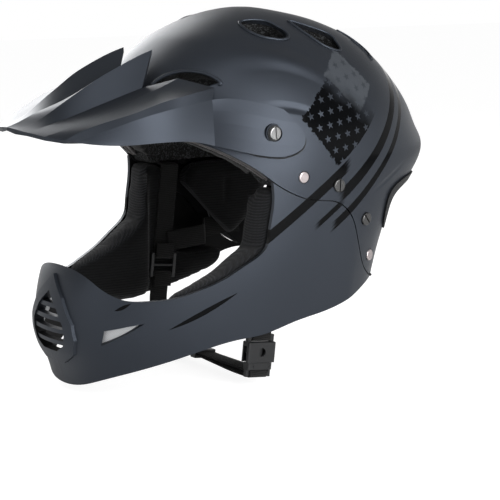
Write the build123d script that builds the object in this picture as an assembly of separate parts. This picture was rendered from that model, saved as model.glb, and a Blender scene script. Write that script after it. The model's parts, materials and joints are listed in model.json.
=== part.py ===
from build123d import *
import math
import os

# Downhill bike full face helmet, in millimetres.
# +Z is up, -Y is the front and +X is the wearer's left.
# The origin is the middle of the wearer's head, level with the temples.

# Driving sizes of the outer form
half_width = 108.0
half_length = 134.0
crown_height = 95.0

# Walls, measured inward from the outer form
shell_wall = 3.0
guard_wall = 3.0
tang_wall = 3.0
liner_wall = 23.0
pad_wall = 6.5
visor_wall = 2.5
visor_standoff = 1.5

# Clearances
fit_gap = 0.3
running_gap = 0.06
seam_gap = 0.6
pocket_gap = 1.0
overrun = 40.0

# The outer form is a stack of level ovals. Each row gives the height as a share of the
# crown height, the half width as a share of the half width, then the front, the rear and
# the widest place as shares of the half length.
oval_power = 2.25
oval_points = 32
form_shares = (
    (1.0, 0.0, -0.142, -0.142, -0.142),
    (0.968, 0.229, -0.313, 0.045, -0.138),
    (0.884, 0.431, -0.496, 0.293, -0.127),
    (0.737, 0.628, -0.696, 0.522, -0.104),
    (0.526, 0.799, -0.860, 0.694, -0.075),
    (0.253, 0.929, -0.957, 0.839, -0.045),
    (0.021, 0.984, -1.000, 0.915, -0.015),
    (-0.189, 1.0, -1.037, 0.954, 0.0),
    (-0.442, 0.995, -1.116, 0.803, 0.0),
    (-0.737, 0.977, -1.249, 0.631, 0.0),
    (-1.0, 0.954, -1.358, 0.548, 0.0),
    (-1.263, 0.926, -1.410, 0.501, 0.0),
    (-1.526, 0.898, -1.404, 0.472, 0.0),
    (-1.789, 0.861, -1.335, 0.446, 0.0),
    (-2.053, 0.815, -1.222, 0.423, 0.0),
)
belt_row = 7
section_rows = (0.3, 0.6, 1, 1.5, 2, 2.5, 3, 3.5, 4, 4.5, 5, 6, 7, 7.5, 8, 8.5, 9, 9.5, 10, 11, 12, 13, 14)

# Side view outlines as shares: y of the half length, z of the crown height.
brow_rim_shares = (
    (-1.119, 0.126), (-0.896, 0.068), (-0.784, 0.020), (-0.719, -0.021),
    (-0.616, -0.101), (-0.515, -0.196), (-0.443, -0.278),
)
seam_shares = (
    (-0.443, -0.278), (-0.346, -0.364), (-0.254, -0.416), (-0.150, -0.442),
    (-0.069, -0.456), (0.011, -0.513), (0.072, -0.615), (0.109, -0.744),
    (0.144, -0.874), (0.188, -1.0), (0.258, -1.089), (0.330, -1.131),
)
nape_rim_shares = (
    (0.330, -1.131), (0.403, -1.095), (0.437, -1.0), (0.425, -0.863), (0.388, -0.737),
    (0.377, -0.611), (0.403, -0.484), (0.493, -0.411), (0.672, -0.379), (1.045, -0.379),
)
above_shares = ((1.045, -0.379), (1.2, -0.379), (1.2, 1.2), (-1.3, 1.2), (-1.3, 0.126))
guard_bottom_shares = (
    (0.330, -1.131), (0.232, -1.167), (0.153, -1.218), (0.042, -1.282), (-0.087, -1.334),
    (-0.272, -1.385), (-0.473, -1.462), (-0.622, -1.487), (-0.954, -1.616),
    (-1.150, -1.719), (-1.264, -1.808), (-1.313, -1.868), (-1.493, -1.916),
)
guard_port_shares = (
    (-1.493, -0.863), (-1.373, -0.895), (-1.334, -0.949), (-1.273, -1.077),
    (-1.224, -1.128), (-1.169, -1.154), (-1.101, -1.154), (-0.948, -1.128),
    (-0.862, -1.089), (-0.692, -0.987), (-0.607, -0.912), (-0.532, -0.848),
    (-0.481, -0.775), (-0.465, -0.659), (-0.444, -0.469), (-0.439, -0.314),
)
tang_shares = (
    (-0.22, -0.53), (-0.20, -0.33), (-0.12, -0.23), (-0.01, -0.22), (0.09, -0.30),
    (0.17, -0.45), (0.25, -0.57), (0.26, -0.69), (0.20, -0.79), (0.07, -0.84), (-0.06, -0.66),
)

# Vents of the left side as shares: x of the half width, y and z as above.
front_vent_shares = (
    (0.278, -0.870, 0.435), (0.333, -0.823, 0.501), (0.433, -0.757, 0.537),
    (0.555, -0.682, 0.525), (0.646, -0.638, 0.462), (0.574, -0.687, 0.426),
    (0.444, -0.784, 0.405), (0.333, -0.847, 0.405),
)
top_vent_shares = (
    (0.347, -0.328, 0.898), (0.397, -0.201, 0.900), (0.519, -0.137, 0.826),
    (0.586, -0.166, 0.774), (0.546, -0.288, 0.789), (0.444, -0.343, 0.842),
)
crown_vent_shares = (
    (0.405, -0.033, 0.895), (0.461, 0.074, 0.846), (0.519, 0.179, 0.782),
    (0.647, 0.172, 0.676), (0.636, 0.071, 0.714), (0.532, -0.002, 0.813),
)
rear_vent_shares = (
    (0.330, 0.361, 0.797), (0.394, 0.455, 0.704), (0.481, 0.478, 0.621),
    (0.569, 0.451, 0.582), (0.491, 0.428, 0.666), (0.407, 0.373, 0.747),
)

# Liner, trims and pads
nape_trim_reach = 5.0
nape_trim_wall = 1.6
rim_trim_depth = 11.0
crown_pad_half_length = 62.0
crown_pad_half_width = 44.0
crown_pad_arm = 17.0
pad_inner_share = 0.68
cheek_roll_reach = 7.4
cheek_roll_end_share = -0.447
cheek_pad_shares = (
    (-0.445, -0.345), (-0.460, -0.474), (-0.483, -0.653), (-0.500, -0.768), (-0.545, -0.821),
    (-0.619, -0.887), (-0.701, -0.963), (-0.787, -1.016), (-0.869, -1.066), (-0.955, -1.111),
    (-1.000, -1.180), (-0.985, -1.300), (-0.850, -1.390), (-0.620, -1.420), (-0.420, -1.390),
    (-0.250, -1.345), (-0.080, -1.290), (0.050, -1.240), (0.130, -1.185), (0.110, -1.125),
    (0.000, -1.130), (-0.120, -1.130), (-0.230, -1.080), (-0.290, -0.940), (-0.300, -0.700),
    (-0.305, -0.480), (-0.340, -0.345),
)
ear_pad_shares = (
    (-0.175, -0.500), (-0.150, -0.410), (-0.060, -0.345), (0.120, -0.336), (0.300, -0.336),
    (0.440, -0.360), (0.462, -0.460), (0.448, -0.600), (0.400, -0.760), (0.305, -0.905),
    (0.215, -1.015), (0.160, -0.990), (0.075, -0.880), (-0.010, -0.760), (-0.100, -0.630),
)
ear_pad_wall = 11.0
ear_slot_share = (0.137, -0.610)
liner_rim_shares = (
    (-1.119, 0.168), (-0.896, 0.110), (-0.784, 0.062), (-0.719, 0.021),
    (-0.616, -0.059), (-0.515, -0.154), (-0.460, -0.215),
)
liner_foot_shares = (
    (-0.460, -0.215), (-0.400, -0.326), (0.480, -0.326), (0.672, -0.300), (1.045, -0.300),
)
brow_pad_top_share = 0.34
rear_pad_front_share = 0.40
rear_pad_top_share = 0.36
# Pad levels: distance out from the inner face, and how far the edge is drawn in.
pad_levels = ((0.0, 9.0), (1.2, 5.0), (3.2, 2.4), (6.0, 0.6), (8.0, 1.6), (10.0, 0.2), (40.0, 0.0))
ear_slot_width = 4.0
ear_slot_length = 20.0

# Chin guard grille, on the middle plane
grille_top_share = -1.13
grille_height = 44.0
grille_half_width = 22.0
grille_frame = 8.5
grille_rise = 2.5
grille_bars = 4
grille_bar = 3.2
window_shares = ((-1.284, -1.500), (-1.278, -1.385), (-1.185, -1.346), (-1.109, -1.321), (-1.190, -1.410))
window_mesh_wall = 0.8

# Visor rails of the left half, from the nose back, as shares of the three driving sizes.
valley_shares = (
    (0.0, -1.649, 0.147), (0.0, -1.582, 0.179), (0.0, -1.493, 0.232), (0.0, -1.343, 0.305),
    (0.0, -1.194, 0.379), (0.0, -1.075, 0.447), (0.0, -0.955, 0.516),
)
inner_crest_shares = (
    (0.093, -1.638, 0.139), (0.116, -1.493, 0.211), (0.139, -1.381, 0.312), (0.157, -1.269, 0.411),
    (0.181, -1.157, 0.505), (0.190, -1.045, 0.581), (0.190, -0.933, 0.648), (0.185, -0.832, 0.695),
)
inner_foot_shares = (
    (0.204, -1.616, 0.124), (0.222, -1.485, 0.174), (0.259, -1.269, 0.274),
    (0.287, -1.119, 0.347), (0.315, -0.963, 0.421),
)
saddle_shares = (
    (0.352, -1.578, 0.105), (0.398, -1.455, 0.163), (0.454, -1.231, 0.279),
    (0.491, -1.045, 0.379), (0.500, -0.828, 0.500),
)
outer_crest_shares = (
    (0.481, -1.515, 0.084), (0.537, -1.388, 0.174), (0.611, -1.269, 0.234), (0.667, -1.179, 0.277),
    (0.704, -1.045, 0.342), (0.718, -0.896, 0.389), (0.676, -0.687, 0.432),
)
outer_foot_shares = (
    (0.528, -1.478, 0.074), (0.593, -1.366, 0.132), (0.667, -1.246, 0.200), (0.722, -1.119, 0.258),
    (0.745, -1.000, 0.295), (0.741, -0.858, 0.326), (0.718, -0.724, 0.347),
)
lower_edge_shares = (
    (0.565, -1.440, 0.063), (0.630, -1.343, 0.048), (0.685, -1.231, 0.044), (0.731, -1.119, 0.052),
    (0.757, -1.000, 0.057), (0.767, -0.860, 0.045), (0.778, -0.739, 0.005),
)
# How far each rail's under side lies from its upper side, in visor walls along x, y and z.
rail_sinks = (
    (0.0, 0.0, -1.0), (-0.2, 0.0, -1.4), (0.1, 0.0, -1.0),
    (0.0, 0.0, -1.1), (-0.7, 0.0, -0.9), (-1.0, 0.0, -0.5),
)
side_strips = 4
ear_top_shares = ((-0.724, 0.347), (-0.562, 0.343), (-0.451, 0.303), (-0.336, 0.253), (-0.224, 0.211))
ear_foot_shares = ((-0.739, 0.005), (-0.600, -0.045), (-0.475, -0.080), (-0.347, -0.084), (-0.224, -0.084))
ear_end_shares = (
    (-0.760, 0.70), (-0.451, 0.303), (-0.371, 0.264), (-0.312, 0.158), (-0.272, 0.059), (-0.287, -0.015),
    (-0.347, -0.065), (-0.432, -0.084), (-0.760, -0.30),
)
visor_boss = 6.8

# Fasteners: places in the side view as shares, then sizes
visor_pivot_share = (-0.448, 0.095)
guard_screw_shares = ((-0.042, -0.339), (0.170, -0.629))
front_rivet_share = (-0.270, -0.254)
rear_rivet_share = (0.244, -0.937)
screw_shank = 2.5
screw_head = 4.9
screw_head_height = 1.9
screw_slot = 1.2
screw_slot_depth = 0.9
washer_radius = 5.8
washer_wall = 0.8
nut_flange = 6.0
nut_flange_wall = 1.4
nut_barrel = 3.7
nut_length = 6.0
rivet_head = 4.3
rivet_head_height = 1.5
rivet_shank = 2.0
rivet_tail = 3.2
rivet_tail_height = 0.9
rivet_washer = 4.6
rivet_washer_wall = 0.8

# Harness: lengths are along the webbing, drops are below the front rivet
strap_width = 16.0
strap_wall = 1.4
webbing_steps = 16
strap_lean = 6.1
strap_fall = 5.2
tab_above = 7.0
tab_below = 8.7
rear_tab = 8.0
rear_tab_back = 6.0
rear_strap_reach = 24.0
rear_strap_run = 14.0
rear_strap_length = 73.0
adjuster_drop = 82.2
adjuster_pitch = 8.0
bar_radius = 1.3
bar_room = 0.2
rail_size = 3.0
rail_end = 2.0
rail_gap = 0.8
adjuster_leg = 9.0
socket_bar_drop = 123.4
socket_gap = 3.2
socket_height = 15.4
socket_width = 25.0
socket_thickness = 9.0
socket_skin = 1.8
socket_corner = 1.5
window_radius = 3.2
latch_slot = 4.0
plug_gap = 0.4
plug_height = 5.2
plug_width = 22.0
plug_thickness = 7.0
plug_bar_drop = 151.0
stem_length = 12.6
stem_width = 4.0
stem_thickness = 3.4
prong_place = 7.2
prong_sink = 2.6
prong_pin = 1.4
prong_reach = 14.0
prong_thickness = 2.4
prong_depth = 3.0
prong_head = 4.5
prong_catch = 4.6
under_strap_shares = (
    (-0.639, -1.330), (-0.556, -1.430), (-0.407, -1.495), (-0.222, -1.535), (-0.019, -1.560), (0.278, -1.566),
)
tail_shares = (
    (0.574, -1.613), (0.370, -1.607), (0.185, -1.594), (-0.019, -1.584), (-0.185, -1.598), (-0.389, -1.663),
)
leg_share = -1.221
keeper_share = -0.019
keeper_length = 6.0
keeper_wall = 1.2


def table_row(position):
    """One row of the form table at a whole or part row, on a Catmull-Rom curve."""
    last = len(form_shares) - 1
    index = min(int(position), last - 1)
    part = position - index

    def row(k):
        if k < 0:
            height, width, front, rear, middle = form_shares[-k]
            top = form_shares[0]
            return (height, -width, 2 * top[2] - front, 2 * top[3] - rear, middle)
        if k > last:
            return tuple(2 * a - b for a, b in zip(form_shares[last], form_shares[last - 1]))
        return form_shares[k]

    columns = zip(row(index - 1), row(index), row(index + 1), row(index + 2))
    return [
        (2 * b + (c - a) * part + (2 * a - 5 * b + 4 * c - d) * part ** 2
         + (3 * b - 3 * c + d - a) * part ** 3) / 2
        for a, b, c, d in columns
    ]


belt = form_shares[belt_row]
belt_height = belt[0] * crown_height


def oval_at(position, depth):
    """Height, half width, front, rear and widest place of one oval, a depth inside the form."""
    height, width, front, rear, middle = table_row(position)
    height, width = height * crown_height, width * half_width
    front, rear, middle = front * half_length, rear * half_length, middle * half_length
    if height > belt_height:
        climb = crown_height - belt_height
        height = belt_height + (height - belt_height) * (climb - depth) / climb
        width *= 1 - depth / half_width
        front = middle + (front - middle) * (1 + depth / (belt[2] * half_length))
        rear = middle + (rear - middle) * (1 - depth / (belt[3] * half_length))
        return height, width, front, rear, middle
    return height, width - depth, front + depth, rear - depth, middle


def oval_at_height(height, depth=0.0):
    """The oval that lies at one height, found by halving."""
    low, high = 0.0, len(form_shares) - 1.0
    for _ in range(40):
        middle = (low + high) / 2
        if oval_at(middle, depth)[0] > height:
            low = middle
        else:
            high = middle
    return oval_at(low, depth)


def side_x(y, z, depth=0.0):
    """Half width of the form at one place of the side view."""
    _, width, front, rear, middle = oval_at_height(z, depth)
    reach = (front if y < middle else rear) - middle
    share = min(1.0, abs((y - middle) / reach))
    return width * (1 - share ** oval_power) ** (1 / oval_power)


def side_point(share):
    """Side view place in millimetres from its shares."""
    return share[0] * half_length, share[1] * crown_height


def surface_seat(share, depth=0.0):
    """Plane on the left of the form, its z axis square to the surface."""
    y, z = side_point(share)
    step = half_width / 200
    slope_y = (side_x(y + step, z, depth) - side_x(y - step, z, depth)) / (2 * step)
    slope_z = (side_x(y, z + step, depth) - side_x(y, z - step, depth)) / (2 * step)
    return Plane((side_x(y, z, depth), y, z), x_dir=(slope_z, 0, 1), z_dir=(1, -slope_y, -slope_z))


def oval_wire(position, depth):
    height, width, front, rear, middle = oval_at(position, depth)
    points = []
    for k in range(oval_points):
        turn = 2 * math.pi * k / oval_points
        side, ahead = math.sin(turn), math.cos(turn)
        x = math.copysign(abs(side) ** (2 / oval_power), side) * width
        reach = (front if ahead > 0 else rear) - middle
        points.append(Vector(x, middle + reach * abs(ahead) ** (2 / oval_power), height))
    steps = [k / oval_points for k in range(oval_points + 1)]
    return Wire([Edge.make_spline(points, periodic=True, parameters=steps)])


def form(depth):
    """Solid inside the outer form at one depth, open to nothing, flat at its foot."""
    return Solid.make_loft([oval_wire(position, depth) for position in section_rows])


def wall(outer, inner):
    return form(outer) - form(inner)


def side_points(shares):
    return [(0, *side_point(share)) for share in shares]


def runs_to_face(*runs):
    """Face bounded by smooth runs that meet at corners, each a list of points."""
    edges = []
    for run in runs:
        edges.append(Spline(*run) if len(run) > 2 else Line(*run))
    if Vector(runs[-1][-1]) != Vector(runs[0][0]):
        edges.append(Line(runs[-1][-1], runs[0][0]))
    return Face(Wire(edges))


def across(face):
    """Prism of a side view face through the whole width."""
    return extrude(face, amount=2 * half_width, dir=(1, 0, 0), both=True)


def straight_runs(points):
    return [list(pair) for pair in zip(points, points[1:])]


def grown(points, amount):
    """Closed outline moved out from its middle."""
    middle = sum((Vector(p) for p in points), Vector()) / len(points)
    return [Vector(p) + (Vector(p) - middle).normalized() * amount for p in points]


def closed_face(points):
    return Face(Wire([Edge.make_spline([Vector(p) for p in points], periodic=True)]))


def mirrored(shape):
    return mirror(shape, about=Plane.YZ)


def pair(shape):
    return Compound([*shape.solids(), *mirrored(shape).solids()])


def shell_region(drop=0.0):
    """Side view region of the shell; a drop lifts its whole rim by that much."""
    brow = [(0, y, z + drop) for _, y, z in side_points(brow_rim_shares)]
    seam = [(0, y, z + drop) for _, y, z in side_points(seam_shares)]
    nape = [(0, y, z + drop) for _, y, z in side_points(nape_rim_shares)]
    above = [(0, y, z + drop) for _, y, z in side_points(above_shares)]
    above.append(brow[0])
    return across(runs_to_face(brow, seam, nape, *straight_runs(above)))


def guard_region():
    seam = [(0, y - seam_gap, z - seam_gap) for _, y, z in side_points(seam_shares)]
    bottom = [seam[-1], *side_points(guard_bottom_shares)[1:]]
    port = [*side_points(guard_port_shares)[:-1], seam[0]]
    return across(runs_to_face(seam, bottom, [bottom[-1], port[0]], port))


def vent_cutter(shares):
    """Straight cutter through a vent outline, square to the form at its middle."""
    points = [Vector(x * half_width, y * half_length, z * crown_height) for x, y, z in shares]
    middle = sum(points, Vector()) / len(points)
    ahead = (points[len(points) // 2] - points[0]).normalized()
    normal = Vector(0, 0, 0)
    for a, b in zip(points, points[1:] + points[:1]):
        normal += (a - middle).cross(b - middle)
    if normal.Z < 0:
        normal = -normal
    plane = Plane(middle, x_dir=ahead, z_dir=normal)
    flat = [plane.from_local_coords((q.X, q.Y, 0)) for q in map(plane.to_local_coords, points)]
    return extrude(closed_face(flat), amount=overrun, dir=plane.z_dir, both=True)


def screw_head_solid(radius, height, turn):
    """Domed slotted head, seated on its local origin."""
    head = Cylinder(radius, height, align=(Align.CENTER, Align.CENTER, Align.MIN))
    head = fillet(head.edges().sort_by(Axis.Z)[-1], height / 2)
    slot = Box(3 * radius, screw_slot, 2 * screw_slot_depth)
    return head - Pos(0, 0, height) * Rot(0, 0, turn) * slot


def screw(length, turn=0.0):
    shank = Cylinder(screw_shank, length, align=(Align.CENTER, Align.CENTER, Align.MAX))
    return screw_head_solid(screw_head, screw_head_height, turn) + shank


def nut():
    """Flanged nut, its flange face on the local origin and its barrel inward."""
    flange = Cylinder(nut_flange, nut_flange_wall, align=(Align.CENTER, Align.CENTER, Align.MAX))
    barrel = Cylinder(nut_barrel, nut_length, align=(Align.CENTER, Align.CENTER, Align.MAX))
    return flange + barrel - Cylinder(screw_shank + running_gap, 3 * nut_length)


def rivet(grip):
    """Domed rivet; grip is what lies between its head and its tail."""
    head = Cylinder(rivet_head, rivet_head_height, align=(Align.CENTER, Align.CENTER, Align.MIN))
    head = fillet(head.edges().sort_by(Axis.Z)[-1], rivet_head_height * 2 / 3)
    shank = Cylinder(rivet_shank, grip, align=(Align.CENTER, Align.CENTER, Align.MAX))
    tail = Cylinder(rivet_tail, rivet_tail_height, align=(Align.CENTER, Align.CENTER, Align.MAX))
    return head + shank + Pos(0, 0, -grip) * tail


def plain_hole(plane, radius, depth=overrun):
    """Hole along a seat's z axis, through whatever lies within the depth each way."""
    return plane * Cylinder(radius, 2 * depth)


def spot_face(plane, radius):
    """Flat for a head: all that stands above the seat within the radius."""
    return plane * Cylinder(radius, overrun / 2, align=(Align.CENTER, Align.CENTER, Align.MIN))


def webbing(edges, plane):
    """Flat webbing: the edges of its centre line given a thickness, then its width."""
    outline = Wire(edges).offset_2d(strap_wall / 2, side=Side.BOTH, closed=True)
    return extrude(plane * Face(outline), amount=strap_width / 2, both=True)


def side_line(edge, first, last, shift):
    """One edge of a centre line moved sideways; its end directions are shared with its neighbours."""
    steps = [k / webbing_steps for k in range(1, webbing_steps)]
    ways = [first, *[edge % step for step in steps], last]
    places = [edge @ 0, *[edge @ step for step in steps], edge @ 1]
    points = [place + way.cross(Vector(0, 0, 1)) * shift for place, way in zip(places, ways)]
    if edge.geom_type == GeomType.LINE:
        return Line(points[0], points[-1])
    if edge.geom_type == GeomType.CIRCLE:
        return ThreePointArc(points[0], points[webbing_steps // 2], points[-1])
    return Spline(*points)


def curved_webbing(edges, plane):
    """Flat webbing along a centre line that runs in curves, its edges given in order."""
    ways = [edges[0] % 0, *[(a % 1 + b % 0).normalized() for a, b in zip(edges, edges[1:])], edges[-1] % 1]
    spans = list(zip(edges, ways, ways[1:]))
    right = [side_line(*span, strap_wall / 2) for span in spans]
    left = [side_line(*span, -strap_wall / 2) for span in spans]
    ends = [Line(right[-1] @ 1, left[-1] @ 1), Line(left[0] @ 0, right[0] @ 0)]
    outline = [edge for line in (*right, *left, *ends) for edge in line.edges()]
    return extrude(plane * Face(Wire(outline)), amount=strap_width / 2, both=True)


def bent(*points):
    return FilletPolyline(*points, radius=bar_loop).edges()


def ring(radius, bore, height, plane):
    """Washer that lies on a plane and stands outward from it."""
    low = (Align.CENTER, Align.CENTER, Align.MIN)
    return plane * (Cylinder(radius, height, align=low) - Cylinder(bore, 3 * height))


# Places worked out once
pivot_y, pivot_z = side_point(visor_pivot_share)
pivot_x = side_x(pivot_y, pivot_z, -visor_standoff - visor_wall)
pivot_plane = Plane((pivot_x, pivot_y, pivot_z), x_dir=(0, 0, 1), z_dir=(1, 0, 0))
visor_nut_x = side_x(pivot_y - nut_flange, pivot_z, shell_wall) - fit_gap
visor_nut_plane = Plane((visor_nut_x, pivot_y, pivot_z), x_dir=(0, 0, 1), z_dir=(1, 0, 0))
barrel_end_x = side_x(pivot_y - nut_barrel, pivot_z, -visor_standoff) - fit_gap

tang_depth = shell_wall + fit_gap
under_tang = tang_depth + tang_wall
guard_screw_seats = [surface_seat(share, fit_gap) for share in guard_screw_shares]
guard_nut_seats = [seat.offset(-under_tang - fit_gap) for seat in guard_screw_seats]

front_y, front_z = side_point(front_rivet_share)
front_rivet_x = side_x(front_y - rivet_head, front_z)
front_rivet_seat = Plane((front_rivet_x, front_y, front_z), x_dir=(0, 0, 1), z_dir=(1, 0, 0))
front_tab_x = side_x(front_y - strap_width / 2, front_z, shell_wall) - fit_gap - strap_wall / 2
front_grip = front_rivet_x - front_tab_x + strap_wall / 2 + rivet_washer_wall

rear_y, rear_z = side_point(rear_rivet_share)
fall = math.radians(strap_fall)
rear_run = Vector(0, -math.cos(fall), -math.sin(fall))
rear_step = rear_run * rear_tab
rear_slope = (side_x(rear_y + rear_step.Y, rear_z + rear_step.Z) - side_x(rear_y, rear_z)) / rear_tab
rear_plane = Plane((0, rear_y, rear_z), x_dir=(1, 0, 0), z_dir=(0, -rear_run.Z, rear_run.Y))
rear_normal = Vector(1, 0, 0) - rear_run * rear_slope
rear_rivet_seat = Plane((side_x(rear_y, rear_z) - 2 * fit_gap, rear_y, rear_z),
                        x_dir=(0, rear_run.Z, -rear_run.Y), z_dir=rear_normal)
rear_rise = Vector(0, -rear_run.Z, rear_run.Y) * -strap_width / 2
rear_corners = [(run, rear_run * run + rear_rise * side)
                for run in (-rear_tab_back, 0, rear_tab) for side in (-1, 0, 1)]
rear_tab_x = min(side_x(rear_y + at.Y, rear_z + at.Z, shell_wall) - rear_slope * run
                 for run, at in rear_corners)
rear_tab_x -= fit_gap + strap_wall / 2
rear_grip = (rear_rivet_seat.origin.X - rear_tab_x) * rear_normal.normalized().X
rear_grip += strap_wall / 2 + rivet_washer_wall + running_gap

pad_inner_x = pad_inner_share * half_width
strap_x = pad_inner_x - fit_gap - strap_wall / 2
bar_loop = bar_radius + bar_room + strap_wall / 2
bar_x = strap_x - bar_loop
lean = math.radians(strap_lean)
harness_plane = Plane((0, front_y, front_z), x_dir=(1, 0, 0), z_dir=(0, -math.cos(lean), math.sin(lean)))
adjuster_foot = -adjuster_drop - 2 * adjuster_pitch
rail_place = strap_width / 2 + rail_gap + rail_size / 2
socket_top = -socket_bar_drop - socket_gap
socket_mouth = socket_top - socket_height
plug_top = socket_mouth - plug_gap

liner_depth = shell_wall + fit_gap
pad_depth = liner_depth + liner_wall + fit_gap
vents = [vent_cutter(shares) for shares in
         (front_vent_shares, top_vent_shares, crown_vent_shares, rear_vent_shares)]


def outer_shell():
    shell = wall(0, shell_wall) & shell_region()
    for vent in vents:
        shell -= vent
        shell -= mirrored(vent)
    cutters = [plain_hole(pivot_plane, nut_barrel + fit_gap, overrun / 2)]
    for seat in guard_screw_seats:
        cutters += [plain_hole(seat, screw_shank + fit_gap / 3, overrun / 2)]
        cutters += [spot_face(seat, screw_head + fit_gap)]
    for seat in (front_rivet_seat, rear_rivet_seat):
        cutters += [plain_hole(seat, rivet_shank + running_gap, overrun / 2)]
        cutters += [spot_face(seat, rivet_head + fit_gap)]
    for cutter in cutters:
        shell -= cutter
        shell -= mirrored(cutter)
    return shell


def tang_prism(growth=0.0):
    return across(closed_face(grown(side_points(tang_shares), growth)))


def pockets():
    """Room under the shell for the tang, the nuts, the rivets and the strap tabs."""
    room = [wall(shell_wall / 2, under_tang + fit_gap) & tang_prism(pocket_gap)]
    inward, outward = (Align.CENTER, Align.CENTER, Align.MAX), (Align.CENTER, Align.CENTER, Align.MIN)
    well = Cylinder(nut_flange + pocket_gap, nut_length + pocket_gap, align=inward)
    screw_well = Cylinder(nut_flange + pocket_gap, nut_length + 3 * pocket_gap, align=inward)
    cutters = [seat.offset(pocket_gap) * screw_well for seat in guard_nut_seats]
    cutters += [visor_nut_plane * well]
    cutters += [visor_nut_plane * Cylinder(nut_flange + pocket_gap, overrun / 4, align=outward)]
    side = strap_width + 2 * pocket_gap
    reach = front_grip + rivet_tail_height + 2 * pocket_gap
    tab = Box(reach, side, side, align=(Align.MAX, Align.CENTER, Align.CENTER))
    cutters += [Pos(front_rivet_x, front_y, front_z) * tab]
    for cutter in cutters:
        room += [cutter, mirrored(cutter)]
    return room


rooms = pockets()


def shifted(shares, ahead, up):
    return [(0, y + ahead, z + up) for _, y, z in side_points(shares)]


def eps_liner():
    region = [side_points(liner_rim_shares)]
    region += straight_runs(side_points(liner_foot_shares))
    above = side_points(above_shares[1:-1])
    above += [(0, *side_point((above_shares[-1][0], liner_rim_shares[0][1])))]
    region += straight_runs([side_points(liner_foot_shares)[-1], *above, side_points(liner_rim_shares)[0]])
    liner = wall(liner_depth, liner_depth + liner_wall) & across(runs_to_face(*region))
    for vent in vents:
        liner = liner - vent - mirrored(vent)
    for room in rooms:
        liner -= room
    return liner


def brow_band():
    """Side view strip between the shell's brow rim and the liner's."""
    lower = side_points(brow_rim_shares)
    upper = shifted(liner_rim_shares, 0, -fit_gap)[::-1]
    return across(runs_to_face(lower, [lower[-1], upper[0]], upper))


def rim_trim():
    return wall(liner_depth, liner_depth + rim_trim_depth) & brow_band()


def brow_pad():
    lip = wall(liner_depth + rim_trim_depth + fit_gap, pad_depth + pad_wall) & brow_band()
    lower = side_points(brow_rim_shares)
    top = brow_pad_top_share * crown_height
    corners = [lower[-1], (0, lower[-1][1], top / 2), (0, lower[-3][1], top), (0, lower[0][1], top), lower[0]]
    face = wall(pad_depth, pad_depth + pad_wall) & across(runs_to_face(lower, *straight_runs(corners)))
    return lip + face


def crown_pad():
    middle = form_shares[0][4] * half_length
    arms = RectangleRounded(2 * crown_pad_arm, 2 * crown_pad_half_length, crown_pad_arm / 2)
    arms += RectangleRounded(2 * crown_pad_half_width, 2 * crown_pad_arm, crown_pad_arm / 2)
    column = extrude(Plane((0, middle, crown_height / 2)) * arms, amount=crown_height)
    return wall(pad_depth, pad_depth + pad_wall) & column


def rear_pad():
    front, rear = rear_pad_front_share * half_length, above_shares[0][0] * half_length
    foot, top = liner_foot_shares[-1][1] * crown_height, rear_pad_top_share * crown_height
    corners = [(0, front, foot), (0, rear, foot), (0, rear, top), (0, front, top), (0, front, foot)]
    return wall(pad_depth, pad_depth + pad_wall) & across(runs_to_face(*straight_runs(corners)))


def nape_trim():
    """Rubber channel round the shell's rear rim."""
    line = nape_rim_shares[4:]
    out, reach = nape_trim_wall, nape_trim_reach / math.sqrt(2)
    outer = shifted(line, out, -out)
    inner = shifted(line, -reach, reach)[::-1]
    band = across(runs_to_face(outer, [outer[-1], inner[0]], inner))
    edge = shifted(nape_rim_shares[3:], fit_gap, -fit_gap)
    deep = shifted(nape_rim_shares[3:], -2 * reach, 2 * reach)[::-1]
    groove = wall(-fit_gap / 2, shell_wall + fit_gap / 2)
    groove &= across(runs_to_face(edge, [edge[-1], deep[0]], deep))
    return (wall(-nape_trim_wall, shell_wall + nape_trim_wall) & band) - groove


def pillow(points, inner_x):
    """Cushion standing out from an inner plane: drawn-in face edge, a channel, then its side."""
    wires = []
    steps = [k / len(points) for k in range(len(points) + 1)]
    for out, drawn in pad_levels:
        outline = [Vector(inner_x + out, p.Y, p.Z) for p in grown(points, -drawn)]
        wires.append(Wire([Edge.make_spline(outline, periodic=True, parameters=steps)]))
    return Solid.make_loft(wires, ruled=True)


def side_pad(shares, inner_x=pad_inner_x):
    pad = pillow(side_points(shares), inner_x) & form(guard_wall + fit_gap)
    for room in rooms:
        pad -= room
    return pad


def cheek_pad():
    """Cushion with a thicker roll along the face opening, thin again where the straps pass."""
    behind = Box(overrun, half_length, 3 * half_length, align=(Align.MAX, Align.MIN, Align.CENTER))
    pad = side_pad(cheek_pad_shares, pad_inner_x - cheek_roll_reach)
    return pad - Pos(pad_inner_x, cheek_roll_end_share * half_length, 0) * behind


def ear_pad():
    """Flat cushion hung below the liner, clear of the strap, the rivet and the nuts behind it."""
    slot = Box(pad_inner_x, ear_slot_width, ear_slot_length)
    behind = Box(overrun, 2 * half_length, 2 * half_length, align=(Align.MIN, Align.CENTER, Align.CENTER))
    pad = side_pad(ear_pad_shares) - Pos(pad_inner_x, *side_point(ear_slot_share)) * slot
    pad &= form(shell_wall + nape_trim_wall + 2 * fit_gap)
    return pad - Pos(pad_inner_x + ear_pad_wall, 0, 0) * behind


def front_prism(points):
    """Prism along Y, ahead of the head, of an outline on the middle plane."""
    face = Face(Wire([*Polyline(*[(x, 0, z) for x, z in points], close=True).edges()]))
    return Pos(0, -half_length / 2, 0) * extrude(face, amount=2 * half_length, dir=(0, -1, 0))


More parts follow.
